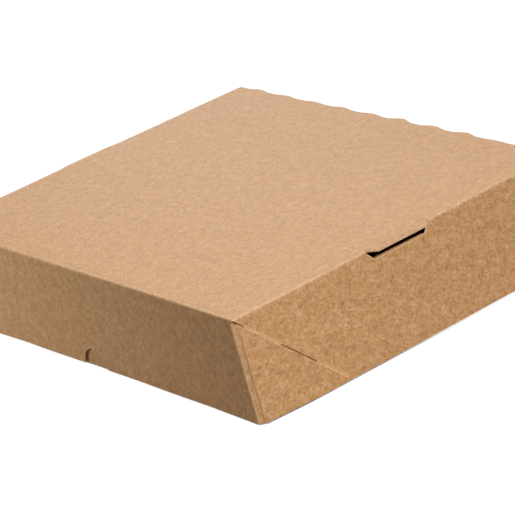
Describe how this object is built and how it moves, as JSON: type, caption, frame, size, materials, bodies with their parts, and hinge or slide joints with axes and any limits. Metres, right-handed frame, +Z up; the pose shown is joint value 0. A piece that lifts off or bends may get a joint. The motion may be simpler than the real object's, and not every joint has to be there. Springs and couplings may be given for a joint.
{
  "type": "takeaway box",
  "caption": "Shallow takeaway box of folded brown board with a hinged lid, wave-cut hinge fold, side vent tabs and a thumb notch.",
  "frame": {"origin": "middle of the bounding box in X and Y, on the underside of the tray's base", "axes": "+Z up, the front flap with the thumb notch faces -Y, the hinge fold is at +Y, +X is the right-hand side seen from the front"},
  "size_m": [0.289, 0.2, 0.054],
  "materials": {
    "tray_board": "uncoated",
    "lid_board": "uncoated"
  },
  "bodies": {
    "tray": {"tray": "tray_board"},
    "lid": {"lid": "lid_board"}
  },
  "joints": [
    {"name": "lid_hinge", "type": "hinge", "parent": "tray", "child": "lid", "pos_m": [0, 0.0978, 0.05375], "axis": [-1, 0, 0], "range_deg": [0, 195]}
  ]
}
